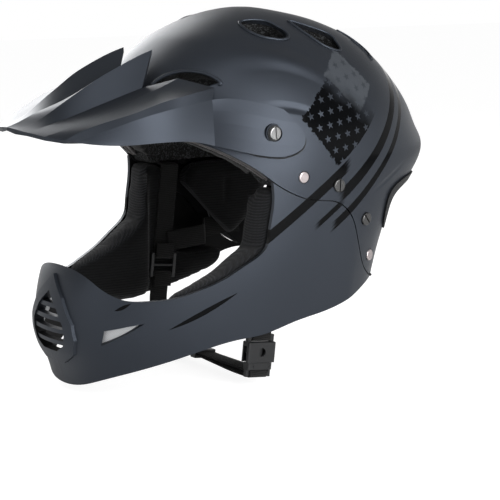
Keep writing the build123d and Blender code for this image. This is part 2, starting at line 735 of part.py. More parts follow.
def grille_outline(grow):
    """Pointed at the top, round at the foot."""
    top = grille_top_share * crown_height + 1.4 * grow
    foot = grille_top_share * crown_height - grille_height - grow
    side = grille_half_width + grow
    tall = top - foot
    right = [(0, top), (0.55 * side, top - 0.24 * tall), (0.95 * side, top - 0.52 * tall),
             (side, top - 0.70 * tall), (0.86 * side, top - 0.88 * tall), (0.45 * side, foot)]
    return right + [(-x, z) for x, z in right[:0:-1]]


def chin_guard():
    region = guard_region()
    guard = wall(0, guard_wall) & region
    frame = wall(-grille_rise, guard_wall + grille_rise) & front_prism(grille_outline(grille_frame))
    guard = guard + frame - front_prism(grille_outline(0))
    pitch = grille_height / (grille_bars + 1)
    for k in range(grille_bars):
        level = grille_top_share * crown_height - (k + 1) * pitch - grille_bar / 2
        bar = Box(2 * half_width, 2 * half_length, grille_bar)
        bar = Pos(0, -1.5 * half_length, level) * bar
        guard += wall(-grille_rise / 2, guard_wall + grille_rise / 2) & bar & front_prism(grille_outline(1.0))
    tang = wall(tang_depth, under_tang) & tang_prism()
    tang += wall(shell_wall / 2, under_tang) & tang_prism() & region
    window = across(runs_to_face(*straight_runs(side_points(window_shares + window_shares[:1]))))
    guard -= window
    for seat in guard_screw_seats:
        hole = plain_hole(seat, screw_shank + fit_gap / 3, overrun / 2)
        tang = tang - hole - mirrored(hole)
    return guard + tang


def window_mesh():
    outline = grown(side_points(window_shares), 2 * window_mesh_wall)
    plate = across(runs_to_face(*straight_runs(outline + outline[:1])))
    depth = guard_wall + fit_gap
    mesh = wall(depth, depth + window_mesh_wall) & plate
    return [solid for solid in mesh.solids() if solid.center().X > 0][0]


def rail_points(shares):
    return [Vector(x * half_width, y * half_length, z * crown_height) for x, y, z in shares]


def ear_rows(depth):
    """Rows of points on the ear, top to foot, standing off the form; the first meets the side wall."""
    rows = []
    for k in range(1, side_strips + 1):
        down = k / side_strips
        row = []
        for top, foot in zip(ear_top_shares, ear_foot_shares):
            y, z = side_point([a + (b - a) * down for a, b in zip(top, foot)])
            row.append(Vector(side_x(y, z, depth), y, z))
        rows.append(row)
    top = [Vector(side_x(y, z, depth), y, z) for y, z in map(side_point, ear_top_shares)]
    return [top] + rows


def visor_rails(under):
    """Rails of the crown part, then of the side wall, then of the ear, on one face of the visor."""
    crown = [rail_points(shares) for shares in (valley_shares, inner_crest_shares, inner_foot_shares,
                                                saddle_shares, outer_crest_shares, outer_foot_shares)]
    lower = rail_points(lower_edge_shares)
    sinks = [Vector(*sink) * visor_wall * under for sink in rail_sinks]
    crown = [[p + sink for p in rail] for rail, sink in zip(crown, sinks)]
    lower = [p + Vector(-visor_wall * under, 0, 0) for p in lower]
    sides = [crown[-1]]
    for k in range(1, side_strips + 1):
        down = k / side_strips
        sides.append([a + (b - a) * down for a, b in zip(crown[-1], lower)])
    ears = ear_rows(-visor_standoff if under else -visor_standoff - visor_wall)
    ears = [[side[-1], *ear[1:]] for side, ear in zip(sides, ears)]
    return crown, sides, ears


def strips(rails):
    edges = [Edge.make_spline(rail) for rail in rails]
    return [Face.make_surface_from_curves(a, b) for a, b in zip(edges, edges[1:])]


def between(points_a, points_b):
    """Narrow face that closes two matching lines, one on each face of the visor."""
    def line(points):
        return Edge.make_line(*points) if len(points) == 2 else Edge.make_spline(points)
    return Face.make_surface_from_curves(line(points_a), line(points_b))


def visor_half():
    tops, unders = visor_rails(0), visor_rails(1)
    faces = []
    for rails in (*tops, *unders):
        faces += strips(rails)
    crown, sides, ears = tops
    crown_under, sides_under, ears_under = unders
    for k in range(len(crown) - 1):
        for end in (0, -1):
            upper, lower = crown[k:k + 2], crown_under[k:k + 2]
            faces.append(between([rail[end] for rail in upper], [rail[end] for rail in lower]))
    for k in range(side_strips):
        faces.append(between([sides[k][0], sides[k + 1][0]], [sides_under[k][0], sides_under[k + 1][0]]))
        faces.append(between([ears[k][-1], ears[k + 1][-1]], [ears_under[k][-1], ears_under[k + 1][-1]]))
    faces.append(between(crown[0], crown_under[0]))
    faces.append(between(sides[-1], sides_under[-1]))
    faces.append(between(ears[-1], ears_under[-1]))
    faces.append(between(ears[0], ears_under[0]))
    return Solid(Shell(faces))


def visor():
    whole = visor_half()
    end = side_points(ear_end_shares[1:-1])
    level = side_points([(ear_top_shares[-1][0], ear_end_shares[end][1]) for end in (0, -1)])
    behind = [(0, 0, level[0][2]), (0, 0, level[1][2])]
    top, foot = (0, end[0][1], level[0][2]), (0, end[-1][1], level[1][2])
    cutter = runs_to_face(end, *straight_runs([end[-1], foot, behind[1], behind[0], top, end[0]]))
    whole -= across(cutter)
    column = Cylinder(visor_boss, 4 * visor_wall, align=(Align.CENTER, Align.CENTER, Align.MAX))
    whole += (pivot_plane * column) - form(-visor_standoff)
    whole -= spot_face(pivot_plane, washer_radius + fit_gap)
    whole -= plain_hole(pivot_plane, screw_shank + running_gap, overrun / 2)
    return whole + mirrored(whole)


def visor_nut():
    flange = Cylinder(nut_flange, nut_flange_wall, align=(Align.CENTER, Align.CENTER, Align.MAX))
    barrel = Cylinder(nut_barrel, barrel_end_x - visor_nut_x, align=(Align.CENTER, Align.CENTER, Align.MIN))
    return visor_nut_plane * (flange + barrel - Cylinder(screw_shank + running_gap, overrun))


def visor_screw():
    length = pivot_x + washer_wall - visor_nut_x + nut_flange_wall + pocket_gap
    return pivot_plane.offset(washer_wall) * screw(length, strap_lean)


def front_strap():
    line = bent((front_tab_x, tab_above), (front_tab_x, -tab_below),
                (strap_x, -tab_below), (strap_x, -adjuster_drop))
    loop = CenterArc((bar_x, -adjuster_drop), bar_loop, 0, -180)
    leg = Line((bar_x - bar_loop, -adjuster_drop), (bar_x - bar_loop, adjuster_leg - adjuster_drop))
    strap = webbing([*line, *loop.edges(), *leg.edges()], harness_plane)
    return strap - plain_hole(front_rivet_seat, rivet_shank + running_gap, rear_tab)


def rear_strap():
    """Lies square to its rivet, then flat against the pads, and ends sewn on the front strap."""
    points = [(rear_tab_x + rear_slope * run, run) for run in (-rear_tab_back, rear_tab)]
    points += [(points[-1][0], rear_strap_reach), (bar_x + strap_wall / 3, rear_strap_reach + rear_strap_run)]
    points += [(bar_x + strap_wall / 3, rear_strap_length)]
    strap = webbing(bent(*points), rear_plane)
    return strap - plain_hole(rear_rivet_seat, rivet_shank + running_gap, rear_tab)


def in_harness(shape, x, up, ahead=0.0):
    return harness_plane * Pos(x, up, ahead) * shape


def bars(drops, x, width):
    return [in_harness(Cylinder(bar_radius, width), x, -drop) for drop in drops]


def joined(shapes):
    whole = shapes[0]
    for shape in shapes[1:]:
        whole += shape
    return whole


def strap_adjuster():
    """Frame of two rails and three bars that the webbing is threaded round."""
    drops = [adjuster_drop + k * adjuster_pitch for k in range(3)]
    height = 2 * (adjuster_pitch + rail_end)
    rail = fillet(Box(rail_size, height, rail_size).edges(), rail_size / 5)
    rails = [in_harness(rail, bar_x, -drops[1], side * rail_place) for side in (-1, 1)]
    return joined(rails + bars(drops, bar_x, 2 * rail_place))


def chin_strap_left():
    low = -socket_bar_drop
    inner, outer = bar_x - bar_loop, bar_x + bar_loop
    edges = [
        Line((inner, adjuster_foot - adjuster_leg), (inner, adjuster_foot)),
        CenterArc((bar_x, adjuster_foot), bar_loop, 180, -180),
        Line((outer, adjuster_foot), (outer, low)),
        CenterArc((bar_x, low), bar_loop, 0, -180),
        Line((inner, low), (inner, low + adjuster_leg)),
    ]
    return webbing([edge for line in edges for edge in line.edges()], harness_plane)


def share_points(shares):
    return [(x * half_width, z * crown_height) for x, z in shares]


def chin_strap_right():
    """From the right adjuster under the chin, round the plug's bar and back as a free tail."""
    inner, outer = bar_loop - bar_x, -bar_x - bar_loop
    leg_foot = leg_share * crown_height
    over = -plug_bar_drop + bar_loop
    under = -plug_bar_drop - bar_loop
    run = [(outer, leg_foot), *share_points(under_strap_shares), (bar_x - rear_tab, over)]
    tail = [(bar_x, under), *share_points(tail_shares)]
    edges = [
        Line((inner, adjuster_foot - adjuster_leg), (inner, adjuster_foot)),
        CenterArc((-bar_x, adjuster_foot), bar_loop, 0, 180),
        Line((outer, adjuster_foot), (outer, leg_foot)),
        Spline(run[0], (outer, leg_foot - strap_wall), *run[1:-1], (run[-1][0] - strap_wall, over), run[-1]),
        Line((bar_x - rear_tab, over), (bar_x, over)),
        CenterArc((bar_x, -plug_bar_drop), bar_loop, 90, -180),
        Spline(tail[0], (tail[0][0] - strap_wall, under), *tail[1:]),
    ]
    return curved_webbing(edges, harness_plane)


def strap_keeper():
    """Ring that holds the free tail against the strap."""
    above = dict(share_points(under_strap_shares))[keeper_share * half_width]
    below = dict(share_points(tail_shares))[keeper_share * half_width]
    height = above - below + strap_wall + 2 * fit_gap
    hole = Box(2 * keeper_length, height, strap_width + 2 * fit_gap)
    body = Box(keeper_length, height + 2 * keeper_wall, strap_width + 2 * fit_gap + 2 * keeper_wall)
    body = fillet(body.edges().filter_by(Axis.X), keeper_wall / 2)
    return in_harness(body - hole, keeper_share * half_width, (above + below) / 2)


def buckle_socket():
    middle = socket_top - socket_height / 2
    body = Box(socket_thickness, socket_height, socket_width)
    body = fillet(body.edges().filter_by(Axis.Y), socket_corner)
    body = fillet(body.edges().group_by(Axis.Y)[-1], socket_skin / 2)
    inside = Box(socket_thickness - 2 * socket_skin, socket_height, socket_width - 2 * socket_skin)
    body -= Pos(0, -socket_skin, 0) * inside
    latch = Box(latch_slot, socket_height - 2 * socket_skin, 2 * socket_width)
    body -= Pos(0, -socket_skin, 0) * latch
    body -= Rot(0, 90, 0) * Cylinder(window_radius, 2 * socket_thickness)
    body = in_harness(body, bar_x, middle)
    height = socket_gap + bar_radius + socket_skin
    arm = Box(rail_size, height, rail_size, align=(Align.CENTER, Align.MIN, Align.CENTER))
    arms = [in_harness(arm, bar_x, socket_top - socket_skin / 2, side * rail_place) for side in (-1, 1)]
    return joined([body, *arms, *bars([socket_bar_drop], bar_x, 2 * rail_place)])


def buckle_plug():
    """Body with a stem, a bar for the webbing and two bored seats for the prongs."""
    low = (Align.CENTER, Align.MAX, Align.CENTER)
    body = Box(plug_thickness, plug_height, plug_width, align=low)
    body = fillet(body.edges().filter_by(Axis.Y), socket_corner)
    stem = Box(stem_thickness, stem_length + fit_gap, stem_width,
               align=(Align.CENTER, Align.MIN, Align.CENTER))
    body += Pos(0, -fit_gap, 0) * fillet(stem.edges().group_by(Axis.Y)[-1], stem_thickness / 4)
    for side in (-1, 1):
        place = Pos(0, -prong_sink, side * prong_place)
        body -= place * Rot(0, 90, 0) * Cylinder(prong_pin + running_gap, 2 * plug_thickness)
        slot = Box(prong_depth + 2 * fit_gap, 2 * prong_sink, prong_thickness + 2 * pocket_gap,
                   align=(Align.CENTER, Align.MIN, Align.CENTER))
        body -= place * slot
    arm_height = plug_bar_drop + plug_top - plug_height + bar_radius + socket_skin
    arm_width = plug_width / 2 - strap_width / 2 - rail_gap
    arm = Box(rail_size, arm_height, arm_width, align=low)
    arm_place = plug_width / 2 - arm_width / 2
    arm_foot = plug_top - plug_height + socket_skin / 2
    arms = [in_harness(arm, bar_x, arm_foot, side * arm_place) for side in (-1, 1)]
    return joined([in_harness(body, bar_x, plug_top), *arms, *bars([plug_bar_drop], bar_x, 2 * arm_place)])


def buckle_prong(side):
    """Springy side prong, its catch turned outward."""
    pin = Rot(0, 90, 0) * Cylinder(prong_pin, plug_thickness - 2 * fit_gap)
    low = (Align.CENTER, Align.MIN, Align.CENTER)
    leg = Box(prong_depth, prong_reach, prong_thickness, align=low)
    head = Box(prong_depth, prong_head, prong_catch, align=(Align.CENTER, Align.MAX, Align.CENTER))
    head = fillet(head.edges().filter_by(Axis.X), prong_thickness / 3)
    shift = side * (prong_catch - prong_thickness / 2) / 2
    body = pin + leg + Pos(0, prong_reach, shift) * head
    return in_harness(body, bar_x, plug_top - prong_sink, side * prong_place)


os.makedirs("parts", exist_ok=True)


def keep(name, shape):
    if isinstance(shape, list):
        shape = Compound(shape)
    export_step(shape, f"parts/{name}.step")


guard_screws = [seat * screw(under_tang + nut_length, 40 * k) for k, seat in enumerate(guard_screw_seats)]
guard_nuts = [seat * nut() for seat in guard_nut_seats]
front_washer_plane = front_rivet_seat.offset(-front_grip)
rear_washer_plane = rear_rivet_seat.offset(-rear_grip)
rivet_bore = rivet_shank + running_gap
washer_planes = (front_washer_plane, rear_washer_plane)
washers = [ring(rivet_washer, rivet_bore, rivet_washer_wall, plane) for plane in washer_planes]

keep("outer_shell", outer_shell())
keep("eps_liner", eps_liner())
keep("rim_trim", rim_trim())
keep("nape_trim", nape_trim())
keep("brow_pad", brow_pad())
keep("crown_pad", crown_pad())
keep("rear_pad", rear_pad())
keep("chin_guard", chin_guard())
keep("visor", visor())
keep("visor_washers", pair(ring(washer_radius, screw_shank + running_gap, washer_wall, pivot_plane)))
keep("visor_nuts", pair(visor_nut()))
keep("chin_guard_screws", pair(Compound([s for shape in guard_screws for s in shape.solids()])))
keep("chin_guard_nuts", pair(Compound([s for shape in guard_nuts for s in shape.solids()])))
keep("front_strap_rivets", pair(front_rivet_seat * rivet(front_grip)))
keep("rear_strap_rivets", pair(rear_rivet_seat * rivet(rear_grip)))
keep("rivet_washers", pair(Compound([s for shape in washers for s in shape.solids()])))
keep("chin_strap_left", chin_strap_left())
keep("chin_strap_right", chin_strap_right())
keep("strap_keeper", strap_keeper())
keep("buckle_socket", buckle_socket())
keep("buckle_plug", buckle_plug())
keep("buckle_prong_front", buckle_prong(1))
keep("buckle_prong_rear", buckle_prong(-1))

left_pieces = {
    "cheek_pad": cheek_pad(),
    "ear_pad": ear_pad(),
    "guard_mesh": window_mesh(),
    "visor_screw": visor_screw(),
    "front_strap": front_strap(),
    "rear_strap": rear_strap(),
    "strap_adjuster": strap_adjuster(),
}
for name, piece in left_pieces.items():
    keep(f"{name}_left", piece)
    keep(f"{name}_right", mirrored(piece))
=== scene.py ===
# %% [markdown]
# # A full face bicycle helmet, dressed for the camera
# The solids of this helmet come from CAD: shell, guard, visor, liner, screws and buckle are already right.
# This notebook gives each of them a finish, and makes again what CAD leaves plain: the pads, the velour
# edging, the webbing and the vents. Lengths are in metres, -Y is the front and +X the wearer's left.

# %% Load the helmet
import json
import math
import bpy
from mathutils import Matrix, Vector
from mathutils.bvhtree import BVHTree


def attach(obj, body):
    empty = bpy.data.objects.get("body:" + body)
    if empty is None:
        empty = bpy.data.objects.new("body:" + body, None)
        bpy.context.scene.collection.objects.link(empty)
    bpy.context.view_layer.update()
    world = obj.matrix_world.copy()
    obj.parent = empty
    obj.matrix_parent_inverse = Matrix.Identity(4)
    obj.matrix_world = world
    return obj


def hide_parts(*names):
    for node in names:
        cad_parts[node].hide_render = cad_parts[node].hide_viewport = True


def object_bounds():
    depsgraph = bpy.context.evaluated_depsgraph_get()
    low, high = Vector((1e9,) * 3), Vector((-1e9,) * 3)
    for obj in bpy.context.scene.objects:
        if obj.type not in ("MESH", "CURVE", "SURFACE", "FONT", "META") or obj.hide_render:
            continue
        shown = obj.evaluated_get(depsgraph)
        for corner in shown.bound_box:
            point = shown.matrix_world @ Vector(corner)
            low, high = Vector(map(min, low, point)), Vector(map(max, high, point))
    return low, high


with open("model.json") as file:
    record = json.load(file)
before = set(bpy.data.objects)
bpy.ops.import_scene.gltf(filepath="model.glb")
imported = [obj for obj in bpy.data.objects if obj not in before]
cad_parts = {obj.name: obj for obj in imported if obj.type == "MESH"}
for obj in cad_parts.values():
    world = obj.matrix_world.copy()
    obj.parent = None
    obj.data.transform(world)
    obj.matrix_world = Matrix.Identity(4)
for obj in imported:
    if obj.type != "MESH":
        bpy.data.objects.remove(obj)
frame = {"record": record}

mm = 0.001
# The shell's own sizes, which the shares further down are taken of.
half_width, half_length, crown_height = 0.108, 0.134, 0.095
cad_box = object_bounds()
print("CAD box", cad_box)


# %% [markdown]
# ## Camera
# The photograph was taken from the wearer's front left, a little above the chin. A long lens keeps the
# proportions calm, and a small shift puts the helmet where it stands in the picture.

# %% Camera
def look_at(thing, place, aim):
    thing.location = place
    thing.rotation_euler = (Vector(aim) - Vector(place)).to_track_quat("-Z", "Y").to_euler()


turn, rise, distance = math.radians(56), math.radians(8), 1.4
aim = Vector((0, -0.045, -0.045))
away = Vector((math.sin(turn) * math.cos(rise), -math.cos(turn) * math.cos(rise), math.sin(rise)))
bpy.ops.object.camera_add()
camera = bpy.context.object
camera.name = "camera"
look_at(camera, aim + away * distance, aim)
camera.data.lens = 131.04
camera.data.shift_x, camera.data.shift_y = 0.076, -0.12
bpy.context.scene.camera = camera
print("camera at", [round(value, 3) for value in camera.location])


# %% [markdown]
# ## Shader maths
# A finish is a small sum of patterns. Wrapping a socket in a class lets the sum be written as plain
# Python, and each operator adds the Math node that it stands for.

# %% Signals
class Signal:
    """A shader socket that can be used in a sum."""
    def __init__(self, nodes, socket):
        self.nodes, self.socket = nodes, socket

    def math(self, operation, *others):
        return self.nodes.node("ShaderNodeMath", {"operation": operation}, [self, *others])

    def __add__(self, other):
        return self.math("ADD", other)

    def __sub__(self, other):
        return self.math("SUBTRACT", other)

    def __mul__(self, other):
        return self.math("MULTIPLY", other)

    def __truediv__(self, other):
        return self.math("DIVIDE", other)

    def __radd__(self, other):
        return self + other

    def __rmul__(self, other):
        return self * other

    def __rsub__(self, other):
        return self * -1 + other

    def __abs__(self):
        return self.math("ABSOLUTE")

    def above(self, edge, soft):
        """0 below the edge and 1 above it, over a soft step."""
        settings = {"interpolation_type": "SMOOTHSTEP"}
        return self.nodes.node("ShaderNodeMapRange", settings, [self, edge - soft, edge + soft, 0, 1])

    def within(self, low, high, soft):
        return self.above(low, soft) * (1 - self.above(high, soft))

    def hump(self, middle, reach):
        """Smooth hump, 1 at the middle and 0 beyond its reach."""
        near = (1 - abs((self - middle) / reach)).math("MAXIMUM", 0.0)
        return near * near * (3 - near * 2)


# %% [markdown]
# Every node comes from one method, which sets the node up, fills its sockets and hands back its output. A
# finish adds a Principled shader to that, and can lay further shaders over it where a mask is 1.

# %% Nodes
class Nodes:
    """A node tree that is filled by calls."""
    def __init__(self, tree):
        self.tree = tree

    def node(self, kind, settings, inputs, output=0):
        node = self.tree.nodes.new(kind)
        for name, value in settings.items():
            setattr(node, name, value)
        for name, value in inputs.items() if isinstance(inputs, dict) else enumerate(inputs):
            if isinstance(value, Signal):
                self.tree.links.new(value.socket, node.inputs[name])
            else:
                node.inputs[name].default_value = value
        return Signal(self, node.outputs[output])


# %% Finish of a material
class Finish(Nodes):
    """One material with a Principled shader, and maybe more of them over it."""
    def __init__(self, name, colour, roughness, **values):
        self.material = bpy.data.materials.new(name)
        self.material.use_nodes = True
        super().__init__(self.material.node_tree)
        self.shader = self.tree.nodes["Principled BSDF"]
        self.surface = Signal(self, self.shader.outputs[0])
        self.set_up(self.shader, colour, roughness, values)
        self.place = self.node("ShaderNodeTexCoord", {}, {}, "Object")

    def set_up(self, shader, colour, roughness, values):
        shader.inputs["Base Color"].default_value = (*colour, 1)
        shader.inputs["Roughness"].default_value = roughness
        for socket, value in values.items():
            shader.inputs[socket.replace("_", " ")].default_value = value

    def overprint(self, mask, colour, roughness, **values):
        """Another shader that shows where the mask is 1."""
        over = self.tree.nodes.new("ShaderNodeBsdfPrincipled")
        self.set_up(over, colour, roughness, values)
        inputs = {0: mask, 1: self.surface, 2: Signal(self, over.outputs[0])}
        self.surface = self.node("ShaderNodeMixShader", {}, inputs)
        self.tree.links.new(self.surface.socket, self.tree.nodes["Material Output"].inputs["Surface"])

    def axes(self, size=1.0):
        split = self.node("ShaderNodeSeparateXYZ", {}, [self.place]).socket.node
        return [Signal(self, out) / size for out in split.outputs]

    def vector(self, x, y, z):
        return self.node("ShaderNodeCombineXYZ", {}, [x, y, z])

    def noise(self, scale, detail=2.0, place=None):
        inputs = {"Vector": place or self.place, "Scale": scale, "Detail": detail}
        return self.node("ShaderNodeTexNoise", {}, inputs)

    def cells(self, scale, output="Distance"):
        return self.node("ShaderNodeTexVoronoi", {}, {"Vector": self.place, "Scale": scale}, output)

    def red(self, colour):
        return self.node("ShaderNodeSeparateColor", {}, [colour])

    def mix(self, share, first, second):
        """Colour that goes from first to second."""
        return self.node("ShaderNodeMix", {"data_type": "RGBA"}, {0: share, 6: first, 7: second}, 2)

    def feed(self, socket, signal):
        self.tree.links.new(signal.socket, self.shader.inputs[socket])

    def bump(self, height, depth, strength=1.0):
        inputs = {"Strength": strength, "Distance": depth, "Height": height}
        self.feed("Normal", self.node("ShaderNodeBump", {}, inputs))


# %% Dressing a solid
def dress(finish, *nodes):
    for name in nodes:
        materials = bpy.data.objects[name].data.materials
        materials.clear()
        materials.append(finish.material)


def grey(level, warm=1.0, cool=1.0):
    return (level * warm, level, level * cool, 1)


# %% [markdown]
# ## Satin paint
# The shell is sprayed a satin blue-black that looks soft where light grazes it. A bluish and broad
# reflection does that, and a very fine bump breaks it up as the grain of the lacquer does. The faces that
# look inwards aren't sprayed, so a second shader shows raw black plastic there, made darker still as painted
# shade for the dark inside of the helmet.

# %% Satin paint
satin = {"Specular_IOR_Level": 0.5, "Specular_Tint": (0.72, 0.82, 1.0, 1)}
paint_dark, paint_light = grey(0.0095, 0.86, 1.26), grey(0.0125, 0.86, 1.26)
# The inward colour below is darker than black plastic, as painted shade for the helmet's dark inside.
raw_black_and_shade = (0.004, 0.004, 0.0045)


def satin_paint(name):
    finish = Finish(name, paint_dark[:3], 0.42, **satin)
    finish.feed("Roughness", 0.39 + finish.noise(16.0) * 0.06)
    finish.feed("Base Color", finish.mix(finish.noise(9.0), paint_dark, paint_light))
    return finish


def grain(finish):
    """Height of the lacquer's grain, in millimetres."""
    return finish.noise(2600.0, 1.0) * 0.05


def bare_and_shaded_inside(finish, middle):
    """Raw black plastic, darkened further as painted shade, on the faces that look towards the middle of the
    helmet.
    """
    out = finish.node("ShaderNodeVectorMath", {"operation": "SUBTRACT"}, [finish.place, middle])
    out = finish.node("ShaderNodeVectorMath", {"operation": "NORMALIZE"}, [out])
    normal = finish.node("ShaderNodeTexCoord", {}, {}, "Normal")
    facing = finish.node("ShaderNodeVectorMath", {"operation": "DOT_PRODUCT"}, [out, normal], "Value")
    inside = 1 - facing.above(-0.12, 0.08)
    finish.overprint(inside, raw_black_and_shade, 0.65, Specular_IOR_Level=0.2)


visor_finish = satin_paint("satin visor")
visor_finish.bump(grain(visor_finish), mm, 0.5)
dress(visor_finish, "visor")
print("sprayed the visor")


# %% [markdown]
# ## Gloss printing
# A glossy black print lies over the satin: a panel of stars with a ragged edge, and slanting stripes that
# run over the seam on to the guard. The masks are worked out in the side view, in millimetres, so both
# sides of the helmet get them. A second shader shows where the mask is 1, because a print is shinier and
# much darker than the paint under it.

# %% Stars
inner_share = 0.42


def stars(u, v, pitch, size):
    """Rows of five-pointed stars, every second row shifted by half a step."""
    row = (v / pitch).math("FLOOR")
    shift = (row / 2).math("FRACT")
    u = ((u / pitch + shift).math("FRACT") - 0.5) * pitch
    v = ((v / pitch).math("FRACT") - 0.5) * pitch
    sector = 2 * math.pi / 5
    folded = abs((v.math("ARCTAN2", u) / sector + 0.25).math("FRACT") - 0.5) * sector
    radius = (u * u + v * v).math("SQRT")
    x, y = radius * folded.math("COSINE"), radius * folded.math("SINE")
    inner = inner_share * size
    edge_x, edge_y = inner * math.cos(sector / 2) - size, inner * math.sin(sector / 2)
    return ((y * edge_x - (x - size) * edge_y) / math.hypot(edge_x, edge_y)).above(0.0, 0.12)


# %% Stripes
# Each stripe's lower and upper edge, where it crosses the middle of the helmet, and its front and back end.
stripes = (
    (-24.6, -15.4, -75.0, 3.0), (-42.5, -32.5, -3.0, 90.0), (-46.0, -41.0, -24.0, -2.0),
    (-59.0, -52.0, -9.0, 90.0),
)
stripe_slope, rear_bend = 0.733, 0.0046
streak_reach, end_fade, crisp = 9, 3.0, 0.15


def stripe_mask(finish, y, z):
    """Mask of all stripes, and the level that their edges follow."""
    rear = y.math("MAXIMUM", 0.0)
    level = z - y * stripe_slope - rear * rear * rear_bend
    streak = finish.noise(0.5, 3.0, finish.vector(0.0, y * 0.08, level))
    half_streak = streak_reach / 2
    mask = None
    for low, high, front, back in stripes:
        ends = (y + streak * streak_reach).within(front + half_streak, back + half_streak, end_fade)
        stripe = level.within(low, high, crisp) * ends
        mask = stripe if mask is None else mask.math("MAXIMUM", stripe)
    return mask, level


def gloss_print(finish, mask):
    finish.overprint(mask, (0.0012, 0.0014, 0.0018), 0.14, Specular_IOR_Level=0.09)


# %% [markdown]
# The panel has its own axes: one along its upper left edge and one along its lower left edge, both from its
# left corner. Noise added to them before the edges are tested makes the edges ragged.

# %% Printed shell
corner_front, corner_up = 35, 18
panel_height, panel_length, panel_foot = 60.0, 57.0, -13.0
tear, scuff = 7, 16
star_pitch, star_size = 9.3, 3.0
star_cosine, star_sine = 0.985, 0.17

shell_paint = satin_paint("printed shell")
y, z = shell_paint.axes(mm)[1:]
print_mask, level = stripe_mask(shell_paint, y, z)
from_corner_y, from_corner_z = y + corner_front, z - corner_up
up_edge = from_corner_y * 0.785 + from_corner_z * 0.62
down_edge = from_corner_y * 0.66 - from_corner_z * 0.75
ragged = (shell_paint.noise(380.0, 4.0) - 0.5) * tear
field = (up_edge + ragged).within(0.0, panel_height, 0.2)
field = field * (down_edge + ragged).within(0.0, panel_length, 0.2)
field = field * (level + ragged * 0.2).above(panel_foot, 0.2)
wear = shell_paint.noise(60.0, 3.0) * scuff
star_u, star_v = y * star_cosine + z * star_sine, z * star_cosine - y * star_sine
star = stars(star_u, star_v, star_pitch, star_size)
ink = field * (1 - star) * (1 - (up_edge + wear - down_edge * 0.25).above(46.0, 10.0))
gloss_print(shell_paint, print_mask.math("MAXIMUM", ink))
print("printed", len(stripes), "stripes and a panel of stars")

# %% [markdown]
# Above the panel the print turns into a paler satin band with darker stars. It is only a change of paint
# colour. The soft creases of the moulding are humps in the bump: a shoulder that runs back from the front
# vent, a valley over the visor's ear, and a groove low on the tail.

# %% Pale band
band = (up_edge + ragged).within(42.0, 70.0, 0.3) * (down_edge + ragged * 0.7).within(-2.0, 34.0, 0.3)
clouds = shell_paint.mix(shell_paint.noise(9.0), paint_dark, paint_light)
pale = shell_paint.mix(band * (1 - star * 0.6), clouds, grey(0.042, 0.9, 1.14))
shell_paint.feed("Base Color", pale)


# %% Creases
def arch(y, top, middle, bend):
    """Height of a line that falls off to both sides of its middle."""
    return top - (y - middle) * (y - middle) * bend


def crease(y, height, reach, middle, length):
    """Hump where the height is 0, fading out at both ends."""
    return height.hump(0.0, reach) * y.hump(middle, length)


shoulder = crease(y, z - arch(y, 62.9, -54, 0.0068), 11.0, -38.0, 52.0)
valley = crease(y, z - arch(y, 27.0, -55, 0.006), 5.0, -38.0, 26.0)
tail_groove = crease(y, z - (y * 0.5 - 54), 3.0, 47.0, 22.0)
creases = shoulder * 2.0 - valley * 1.2 - tail_groove * 0.6
shell_paint.bump(grain(shell_paint) + creases, mm, 1.0)
# Inward faces: raw black plastic with painted shade for the dark inside.
bare_and_shaded_inside(shell_paint, (0, -0.005, -0.02))
dress(shell_paint, "outer_shell")

# %% [markdown]
# The guard carries the ends of the stripes, and low on each cheek a long shard and a small wedge.

# %% Printed guard
# Front end and foot of the shard and of the wedge, their length, how far they climb, and their belly.
shards = ((-134.4, -131.0, 50.0, 26.0, 2.3), (-166.0, -116.6, 10.0, 6.0, 1.5))

guard_paint = satin_paint("printed guard")
y, z = guard_paint.axes(mm)[1:]
print_mask = stripe_mask(guard_paint, y, z)[0]
for front, foot, length, climb, belly in shards:
    share = (y - front) / length
    line = share * climb + foot - share * (1 - share) * belly
    half = (share * (1 - share)).math("MAXIMUM", 0.0) * 4 * belly
    print_mask = print_mask.math("MAXIMUM", (half - abs(z - line)).above(crisp, crisp))
gloss_print(guard_paint, print_mask)
guard_paint.bump(grain(guard_paint), mm, 1.0)
# Inward faces: raw black plastic with painted shade for the dark inside.
bare_and_shaded_inside(guard_paint, (0, -0.06, -0.12))
dress(guard_paint, "chin_guard")
print("painted shell, guard and visor")


# %% [markdown]
# ## Metal and small plastic
# Screws are bright or dark steel with fine turning marks, rivets are nickel, and the buckle is black acetal
# with a slight sheen and shallow moulding marks.

# %% Hardware
def metal(name, level, roughness, warm=1.0):
    finish = Finish(name, (level * warm, level, level), roughness, Metallic=1.0)
    x, y, z = finish.axes()
    marks = finish.noise(500.0, 3.0, finish.vector(x * 0.3, y * 4, z))
    finish.feed("Roughness", roughness + marks * 0.16 - 0.08)
    dull, bright = grey(level * 0.8, warm), grey(level * 1.1, warm)
    finish.feed("Base Color", finish.mix(finish.noise(160.0), dull, bright))
    finish.bump(marks, 0.00004, 0.4)
    return finish


dress(metal("bright steel", 0.30, 0.36), "visor_screw_left", "visor_screw_right")
dress(metal("dark steel", 0.10, 0.36), "chin_guard_screws")
dress(metal("nickel", 0.50, 0.30, 1.12), "front_strap_rivets", "rear_strap_rivets")
dress(metal("zinc plate", 0.22, 0.42), "chin_guard_nuts", "visor_nuts", "rivet_washers")
print("four metals on the screws, rivets, nuts and washers")


# %% Buckle plastic and rubber
def moulded(name, level, roughness, scale):
    finish = Finish(name, (level, level, level), roughness, Specular_IOR_Level=0.4)
    finish.feed("Roughness", roughness - 0.06 + finish.noise(240.0) * 0.14)
    dark, light = grey(level * 0.8, 0.95, 1.1), grey(level * 1.3, 0.95, 1.1)
    finish.feed("Base Color", finish.mix(finish.noise(60.0), dark, light))
    finish.bump(finish.noise(scale), 0.0001, 0.4)
    return finish


